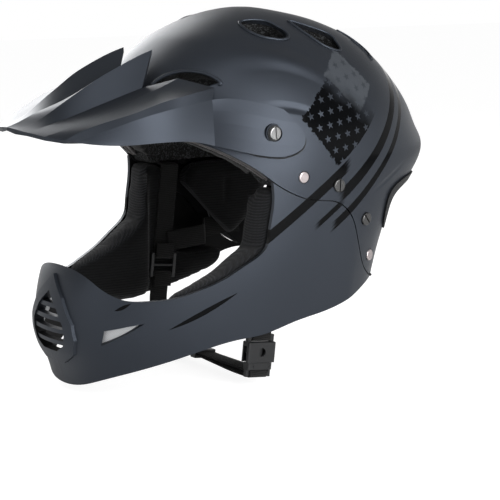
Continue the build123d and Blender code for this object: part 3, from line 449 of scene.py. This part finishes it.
acetal = moulded("black acetal", 0.010, 0.36, 1500.0)
rubber = moulded("black rubber", 0.007, 0.60, 1900.0)
dress(acetal, "visor_washers", "buckle_socket", "buckle_plug", "buckle_prong_front", "buckle_prong_rear")
dress(acetal, "strap_keeper", "strap_adjuster_left", "strap_adjuster_right")
dress(rubber, "nape_trim")
print("acetal on the buckle and its fittings, rubber on the nape trim")

# %% [markdown]
# ## Foam liner
# The liner is expanded foam, pressed from grey and black beads. A cell pattern gives the beads and their
# seams, and the random colour of each cell decides which beads are pale.

# %% Foam
foam = Finish("bead foam", (0.012, 0.012, 0.013), 0.8, Specular_IOR_Level=0.2)
bead = foam.cells(1000.0)
pale_bead = foam.red(foam.cells(1000.0, "Color")).above(0.62, 0.12)
foam.feed("Base Color", foam.mix(pale_bead * (1 - bead), grey(0.006), grey(0.075, 0.95, 1.05)))
foam.bump(1 - bead, 0.0005, 0.8)
dress(foam, "eps_liner")
print("bead foam on the liner")

# %% [markdown]
# ## Guard screens
# Each side window of the guard is closed by a fine silver mesh. The wires are a diagonal grid, light where
# a wire is and dark in the holes, with a bump that rounds them.

# %% Screens
wires_per_mm = 1.15
screen = Finish("silver mesh", (0.55, 0.56, 0.58), 0.4, Metallic=0.5)
y, z = screen.axes(mm)[1:]
warp = abs(((y * 0.8 + z * 0.6) * wires_per_mm).math("FRACT") - 0.5)
weft = abs(((z * 0.8 - y * 0.6) * wires_per_mm).math("FRACT") - 0.5)
wire = warp.math("MAXIMUM", weft).above(0.30, 0.06)
screen.feed("Base Color", screen.mix(wire, grey(0.16), grey(0.62, 0.98, 1.03)))
screen.bump(warp.math("MAXIMUM", weft), 0.0003, 1.0)
dress(screen, "guard_mesh_left", "guard_mesh_right")
print("mesh on both windows,", wires_per_mm, "wires to a millimetre")


# %% [markdown]
# ## Knit, velour and webbing
# All the fabrics are black, and differ by how they catch light: ribbed knit on the cushions, short velour
# on the edging, and a tight ribbed weave in the webbing.

# %% Fabrics
def cloth(name, dark, light, rib, pile, sheen=0.12, warm=1.0, axis=1):
    """Black fabric with ribs across one axis and a pile."""
    finish = Finish(name, (dark, dark, dark), 0.9, Sheen_Weight=sheen, Sheen_Roughness=0.5,
                    Specular_IOR_Level=0.1)
    along = finish.axes()[axis]
    ribs = (along * rib).math("SINE") * 0.5 + 0.5
    fuzz = finish.noise(pile, 4.0)
    finish.feed("Base Color", finish.mix(ribs * 0.45 + fuzz * 0.55, grey(dark, warm), grey(light, warm)))
    finish.feed("Roughness", 0.84 + fuzz * 0.14)
    finish.bump(ribs * 0.6 + fuzz, 0.0004, 0.8)
    return finish


brushed = cloth("brushed lining", 0.002, 0.012, 900.0, 1500.0)
velour = cloth("edging velour", 0.022, 0.070, 700.0, 2600.0, sheen=0.3, warm=1.12)
web = cloth("strap webbing", 0.004, 0.022, 4200.0, 3600.0, sheen=0.08, axis=2)
print("fabrics:", ", ".join(fabric.material.name for fabric in (brushed, velour, web)))

# %% [markdown]
# A cheek cushion has a brushed face towards the wearer and a ribbed knit on its sides. The cushions carry
# an attribute that is 1 on the sides, and the finish reads it.

# %% Cushion cloth
knit = Finish("cushion cloth", (0.006, 0.006, 0.007), 0.9, Sheen_Weight=0.1, Specular_IOR_Level=0.1)
x, y, z = knit.axes()
on_gusset = knit.node("ShaderNodeAttribute", {"attribute_name": "gusset"}, {}, "Fac")
ribs = ((y - z) * 3600).math("SINE") * 0.5 + 0.5
cross_ribs = ((y + z + x) * 3600).math("SINE") * 0.5 + 0.5
face_ribs = (z * 3000).math("SINE") * 0.5 + 0.5
weave = on_gusset * ribs * cross_ribs + (1 - on_gusset) * face_ribs * 0.5
fuzz = knit.noise(1800.0, 4.0)
knit_light = knit.mix(on_gusset, grey(0.010, 0.95, 1.1), grey(0.034, 0.95, 1.15))
knit.feed("Base Color", knit.mix(weave * 0.7 + fuzz * 0.4, grey(0.0025), knit_light))
knit.feed("Roughness", 0.85 + fuzz * 0.12)
knit.bump(weave + fuzz * 0.4, 0.0005, 0.9)
print("and", knit.material.name)


# %% [markdown]
# ## Working on a copy
# CAD gives each soft piece a plain solid of the right size. The easiest start for a cushion or a strap is a
# copy of that solid with its loose triangles merged, which then takes the place of the plain one.

# %% Copies of soft solids
record = frame["record"]
body_of = {node: body for body, nodes in record["behaviour"]["bodies"].items() for node in nodes}


def alone(thing):
    bpy.ops.object.select_all(action="DESELECT")
    thing.select_set(True)
    bpy.context.view_layer.objects.active = thing


def modify(thing, kind, **settings):
    alone(thing)
    modifier = thing.modifiers.new(kind.lower(), kind)
    for name, value in settings.items():
        setattr(modifier, name, value)
    bpy.ops.object.modifier_apply(modifier=modifier.name)


def soft_copy(node, name, finish):
    """Merged copy of a CAD solid that replaces it and rides on its body."""
    piece = bpy.data.objects.new(name, bpy.data.objects[node].data.copy())
    bpy.context.collection.objects.link(piece)
    alone(piece)
    bpy.ops.object.mode_set(mode="EDIT")
    bpy.ops.mesh.select_all(action="SELECT")
    bpy.ops.mesh.remove_doubles(threshold=0.00001)
    bpy.ops.mesh.normals_make_consistent(inside=False)
    bpy.ops.object.mode_set(mode="OBJECT")
    piece.data.materials.clear()
    piece.data.materials.append(finish.material)
    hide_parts(node)
    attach(piece, body_of[node])
    return piece


# %% [markdown]
# ## Cushions
# A pad is foam in a knitted bag: it is full in the middle, drawn in at its seams, and never quite flat. The
# copy is remeshed into even cells, drawn in a little, and blown up by a cloth simulation with pressure. Its
# swelling is then kept below a set puff, so that it stays off the head.

# %% Blowing up
pressure, blow_steps = 4.0, 12


def blow_up(piece):
    alone(piece)
    blow = piece.modifiers.new("cloth", "CLOTH")
    blow.settings.use_pressure = True
    blow.settings.uniform_pressure_force = pressure
    blow.settings.effector_weights.gravity = 0.0
    blow.settings.quality = 4
    for step in range(1, blow_steps + 1):
        bpy.context.scene.frame_set(step)
    bpy.ops.object.modifier_apply(modifier=blow.name)
    bpy.context.scene.frame_set(1)


# %% [markdown]
# The cheek and ear cushions are fuller than their solids. The roll along the face opening swells inwards,
# the lower edge of the cheek cushion hangs out of the guard, and the ear cushion reaches back to the shell.

# %% Sagging cushions
roll_swell, edge_hang, flap_swell = 3.6, 9.5, 5.0
roll_starts, roll_full = -0.060, -0.072
edge_starts, edge_full = -0.085, -0.105
hang_front, hang_rear = (-0.112, -0.085), (0.024, 0.010)
flap_starts, flap_full = 0.030, 0.045


def ramp(value, start, end):
    """0 at the start and 1 at the end, in a straight line."""
    return min(max((value - start) / (end - start), 0), 1)


def cheek_sag(piece):
    for vertex in piece.data.vertices:
        place, normal = vertex.co, vertex.normal
        inward = max(-normal.x * math.copysign(1, place.x), 0)
        swell = inward * ramp(place.y, roll_starts, roll_full) * roll_swell * mm
        low = ramp(place.z, edge_starts, edge_full) * ramp(place.y, *hang_front) * ramp(place.y, *hang_rear)
        hang = max(-normal.z, 0) * low * edge_hang * mm
        vertex.co = place + Vector((-math.copysign(swell, place.x), 0, -hang))


def ear_sag(piece):
    for vertex in piece.data.vertices:
        back = max(vertex.normal.y, 0) * ramp(vertex.co.y, flap_starts, flap_full)
        vertex.co.y += back * flap_swell * mm


# %% Pads
seam_draw = 0.8 * mm
gusset_facing, gusset_blend = 0.80, 0.25


def pad(node, name, finish, voxel, puff, sag=None):
    """Cushion in place of a CAD pad, with its cell size and greatest puff in millimetres."""
    piece = soft_copy(node, name, finish)
    modify(piece, "REMESH", mode="VOXEL", voxel_size=voxel * mm)
    modify(piece, "SMOOTH", factor=0.5, iterations=3)
    modify(piece, "DISPLACE", strength=-seam_draw, mid_level=0.0)
    if sag:
        piece.data.update()
        sag(piece)
    start = [vertex.co.copy() for vertex in piece.data.vertices]
    blow_up(piece)
    for vertex, at in zip(piece.data.vertices, start):
        move = vertex.co - at
        if move.length > puff * mm:
            vertex.co = at + move.normalized() * puff * mm
    modify(piece, "SUBSURF", levels=1, render_levels=1)
    gusset = piece.data.attributes.new("gusset", "FLOAT", "POINT")
    for vertex, value in zip(piece.data.vertices, gusset.data):
        value.value = min(max((gusset_facing - abs(vertex.normal.x)) / gusset_blend, 0), 1)
    alone(piece)
    bpy.ops.object.shade_smooth()
    print(name, len(piece.data.polygons), "faces")


for side in ("left", "right"):
    pad(f"cheek_pad_{side}", f"cheek_cushion_{side}", knit, 3.0, 1.4, cheek_sag)
    pad(f"ear_pad_{side}", f"ear_cushion_{side}", knit, 2.0, 1.0, ear_sag)
pad("brow_pad", "brow_cushion", brushed, 3.0, 1.0)
pad("crown_pad", "crown_cushion", brushed, 3.5, 1.0)
pad("rear_pad", "rear_cushion", brushed, 3.5, 1.0)


# %% [markdown]
# ## Tubes along a line
# The vents' lips, the dark cord painted as the visor's shadow line and the seal of the seam are all thin
# round cords laid along a line.
# The points of a circle are moved on to the line, one edge is taken out if it is open, and the chain is
# turned into a curve, given its thickness, and turned back into a mesh.

# %% Smooth line
def smooth(points, steps, closed):
    """Points of a smooth line through the given ones."""
    count = len(points)

    def point(k):
        return points[k % count] if closed else points[min(max(k, 0), count - 1)]

    line = []
    for k in range(count if closed else count - 1):
        a, b, c, d = point(k - 1), point(k), point(k + 1), point(k + 2)
        for step in range(steps):
            t = step / steps
            line.append((b * 2 + (c - a) * t + (a * 2 - b * 5 + c * 4 - d) * t ** 2
                         + (b * 3 - a - c * 3 + d) * t ** 3) / 2)
    return line if closed else line + [points[-1]]


# %% Tube
def tube(name, line, radius, finish, body, closed=True):
    bpy.ops.object.select_all(action="DESELECT")
    bpy.ops.mesh.primitive_circle_add(vertices=len(line), radius=half_width)
    piece = bpy.context.object
    piece.name = name
    for vertex, place in zip(piece.data.vertices, line):
        vertex.co = place
    if not closed:
        bpy.ops.object.mode_set(mode="EDIT")
        bpy.ops.mesh.select_mode(type="EDGE")
        bpy.ops.mesh.select_all(action="DESELECT")
        bpy.ops.object.mode_set(mode="OBJECT")
        for edge in piece.data.edges:
            edge.select = set(edge.vertices) == {0, len(line) - 1}
        bpy.ops.object.mode_set(mode="EDIT")
        bpy.ops.mesh.delete(type="EDGE")
        bpy.ops.object.mode_set(mode="OBJECT")
    bpy.ops.object.convert(target="CURVE")
    piece = bpy.context.object
    piece.data.bevel_depth = radius
    piece.data.bevel_resolution = 2
    piece.data.use_fill_caps = not closed
    bpy.ops.object.convert(target="MESH")
    piece = bpy.context.object
    bpy.ops.object.shade_smooth()
    piece.data.materials.clear()
    piece.data.materials.append(finish.material)
    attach(piece, body)


# %% Laying a line on the shell
def surface(node):
    return BVHTree.FromObject(bpy.data.objects[node], bpy.context.evaluated_depsgraph_get())


def laid_on(tree, line, rise):
    """The line moved on to a surface and lifted off it."""
    places = []
    for point in line:
        at, normal = tree.find_nearest(point)[:2]
        places.append(at + normal * rise)
    return places


def on_side(side, points):
    sign = 1 if side == "left" else -1
    return [Vector((point.x * sign, point.y, point.z)) for point in points]


# %% [markdown]
# ## Vent bezels
# Each vent is moulded with a rolled lip that catches the light. The vents' outlines are given as shares of
# the helmet's half width, half length and crown height.

# %% Bezels
front_vent_shares = (
    (0.278, -0.870, 0.435), (0.333, -0.823, 0.501), (0.433, -0.757, 0.537), (0.555, -0.682, 0.525),
    (0.646, -0.638, 0.462), (0.574, -0.687, 0.426), (0.444, -0.784, 0.405), (0.333, -0.847, 0.405),
)
top_vent_shares = (
    (0.347, -0.328, 0.898), (0.397, -0.201, 0.900), (0.519, -0.137, 0.826),
    (0.586, -0.166, 0.774), (0.546, -0.288, 0.789), (0.444, -0.343, 0.842),
)
crown_vent_shares = (
    (0.405, -0.033, 0.895), (0.461, 0.074, 0.846), (0.519, 0.179, 0.782),
    (0.647, 0.172, 0.676), (0.636, 0.071, 0.714), (0.532, -0.002, 0.813),
)
rear_vent_shares = (
    (0.330, 0.361, 0.797), (0.394, 0.455, 0.704), (0.481, 0.478, 0.621),
    (0.569, 0.451, 0.582), (0.491, 0.428, 0.666), (0.407, 0.373, 0.747),
)
vent_shares = {"front": front_vent_shares, "top": top_vent_shares, "crown": crown_vent_shares,
               "rear": rear_vent_shares}
shell_surface = surface("outer_shell")


def sized(shares):
    return [Vector((x * half_width, y * half_length, z * crown_height)) for x, y, z in shares]


bezel_lift, lip = 0.2 * mm, 0.9 * mm
bezel_radius = {"front": 1.4 * mm, "top": 1.2 * mm, "crown": 1.1 * mm, "rear": 0.7 * mm}
for vent, shares in vent_shares.items():
    outline = smooth(sized(shares), 12, True)
    middle = sum(outline, Vector()) / len(outline)
    outline = [point + (point - middle).normalized() * lip for point in outline]
    for side in ("left", "right"):
        line = laid_on(shell_surface, on_side(side, outline), bezel_lift)
        tube(f"{vent}_vent_lip_{side}", line, bezel_radius[vent], visor_finish, "helmet")
print(2 * len(vent_shares), "vent lips")


# %% [markdown]
# ## Visor gasket
# A dark line follows the visor's ear: a thin black cord that is painted shadow for the shade under the
# visor's edge. The shares are of the half length and the crown height, and the shell gives the third side of
# each point.

# %% Shadow line
shadow_line_shares = (
    (-0.640, 0.352), (-0.562, 0.340), (-0.451, 0.303), (-0.371, 0.264), (-0.312, 0.158), (-0.272, 0.059),
    (-0.287, -0.015), (-0.347, -0.065), (-0.432, -0.084), (-0.560, -0.060), (-0.690, -0.012),
)
outside_share, shadow_line_radius = 1.1, 0.55 * mm
for side in ("left", "right"):
    edge = [Vector((half_width * outside_share, y * half_length, z * crown_height)) for y, z in shadow_line_shares]
    line = laid_on(shell_surface, on_side(side, smooth(edge, 10, False)), shadow_line_radius)
    # The cord takes the black rubber finish as painted shadow along the visor's edge.
    tube(f"visor_gasket_{side}", line, shadow_line_radius, rubber, "visor", closed=False)
print("shadow_lines", 2 * shadow_line_radius, "thick")


# %% [markdown]
# ## Seam seal
# A rubber cord closes the joint between the shell and the guard from inside, so that no light comes through.

# %% Seal
seam_shares = (
    (-0.443, -0.278), (-0.346, -0.364), (-0.254, -0.416), (-0.150, -0.442), (-0.069, -0.456), (0.011, -0.513),
    (0.072, -0.615), (0.109, -0.744), (0.144, -0.874), (0.188, -1.000), (0.258, -1.089), (0.320, -1.126),
)
inside_share, seal_radius, seal_lift = 0.80, 1.1 * mm, 0.4 * mm
for side in ("left", "right"):
    seam = [Vector((half_width * inside_share, y * half_length, z * crown_height)) for y, z in seam_shares]
    line = laid_on(shell_surface, on_side(side, smooth(seam, 8, False)), seal_lift)
    tube(f"seam_seal_{side}", line, seal_radius, rubber, "helmet", closed=False)
print("seals", 2 * seal_radius, "thick")


# %% [markdown]
# ## Velour edging
# The rim over the eyes is closed by a soft double roll of velour with a dark groove between the rolls. The
# groove lies at a set depth off the shell, so each point is pulled in by how near it is to that depth.

# %% Rim roll
groove_place, groove_reach, groove_depth = 5.6 * mm, 1.1 * mm, 1.6
rim = soft_copy("rim_trim", "rim_roll", velour)
modify(rim, "REMESH", mode="VOXEL", voxel_size=1.2 * mm)
modify(rim, "SMOOTH", factor=0.5, iterations=2)
rim.data.update()
for vertex in rim.data.vertices:
    depth = shell_surface.find_nearest(vertex.co)[3]
    groove = math.exp(-((depth - groove_place) / groove_reach) ** 2)
    vertex.co -= vertex.normal * groove * groove_depth * mm
modify(rim, "SMOOTH", factor=0.5, iterations=1)
alone(rim)
bpy.ops.object.shade_smooth()
print("rim roll", len(rim.data.polygons), "faces")


# %% [markdown]
# ## Webbing
# The straps are flat woven webbing with rounded selvedges. The copy keeps the route, and a small bevel
# rounds the edges that a strap's loom leaves soft.

# %% Straps
selvedge = 0.35 * mm


def strap(run, side):
    piece = soft_copy(f"{run}_strap_{side}", f"{run}_webbing_{side}", web)
    modify(piece, "DECIMATE", decimate_type="DISSOLVE", angle_limit=math.radians(1))
    modify(piece, "BEVEL", width=selvedge, segments=2, limit_method="ANGLE", angle_limit=math.radians(60))
    modify(piece, "TRIANGULATE")
    alone(piece)
    bpy.ops.object.shade_smooth_by_angle(angle=math.radians(35))
    print(piece.name, len(piece.data.polygons), "faces")


strap("chin", "left")
strap("chin", "right")
for side in ("left", "right"):
    strap("front", side)
    strap("rear", side)


# %% [markdown]
# ## Floor and world
# A pale floor and a white world stand in for the studio. The floor glows to the camera alone, just enough to
# look white around the helmet's shadow.

# %% Floor
floor_size, floor_gap = 8, 0.0005
glow_share, glow = 0.62, 1.42
bpy.ops.mesh.primitive_plane_add(size=floor_size, location=(0, 0, cad_box[0][2] - floor_gap))
floor = bpy.context.object
floor.name = "floor"
floor_paint = Finish("floor", (0.86, 0.86, 0.86), 0.9, Specular_IOR_Level=0.1)
floor_paint.feed("Base Color", floor_paint.mix(floor_paint.noise(1.5), grey(0.85), grey(0.87)))
direct = floor_paint.node("ShaderNodeLightPath", {}, {}, "Is Camera Ray")
floor_paint.overprint(direct * glow_share, (0, 0, 0), 1.0, Specular_IOR_Level=0.0,
                      Emission_Color=(1, 1, 1, 1), Emission_Strength=glow)
floor.data.materials.append(floor_paint.material)
print("floor", floor_size, "wide")


# %% [markdown]
# The world is white to the camera and lights the helmet much less than that. What the satin paint mirrors of
# it gets darker overhead, like the ceiling of a studio, and so the crown stays dark.

# %% World
fill_light = 0.30
ceiling_height, ceiling_blend, ceiling_dark = 0.26, 0.22, 0.88
world = bpy.context.scene.world or bpy.data.worlds.new("studio")
bpy.context.scene.world = world
world.use_nodes = True
sky = Nodes(world.node_tree)
background = world.node_tree.nodes["Background"]
background.inputs["Color"].default_value = (1, 1, 1, 1)
height = sky.node("ShaderNodeSeparateXYZ", {}, [sky.node("ShaderNodeTexCoord", {}, {}, "Generated")], "Z")
backdrop = 1 - height.above(ceiling_height, ceiling_blend) * ceiling_dark
mirrored = sky.node("ShaderNodeLightPath", {}, {}, "Is Glossy Ray") * backdrop
seen = sky.node("ShaderNodeLightPath", {}, {}, "Is Camera Ray").math("MAXIMUM", mirrored)
seen = seen.math("MAXIMUM", sky.node("ShaderNodeLightPath", {}, {}, "Is Transmission Ray"))
sky.tree.links.new(seen.math("MAXIMUM", fill_light).socket, background.inputs["Strength"])
print("world lights with", fill_light)


# %% [markdown]
# ## Lamps
# The photograph's light comes from a large soft box beside the helmet, a little above it, so that the satin
# sides glow and the crown stays dark. A weaker box on the far side lights the visor's other wing, and two
# small ones, high up and in front, show the top of the visor and the grille.

# %% Lamps
def soft_box(name, place, aim, size, power):
    bpy.ops.object.light_add(type="AREA", location=place)
    lamp = bpy.context.object
    lamp.name = name
    lamp.data.shape, lamp.data.size, lamp.data.size_y = "RECTANGLE", *size
    lamp.data.energy = power
    look_at(lamp, place, aim)
    print(name, power, "W")


soft_box("side box", (1.38, 0.05, 0.42), (0.05, -0.02, -0.02), (0.85, 1.15), 26)
soft_box("top box", (0.62, -0.52, 1.30), (0, -0.05, 0.02), (0.7, 0.5), 3.5)
soft_box("far box", (-1.35, 0.10, 0.45), (-0.05, -0.02, -0.02), (0.85, 0.9), 12)
soft_box("front box", (0.25, -1.5, 0.30), (0, -0.08, -0.05), (0.9, 0.7), 2)
bpy.context.scene.view_settings.view_transform = "Standard"
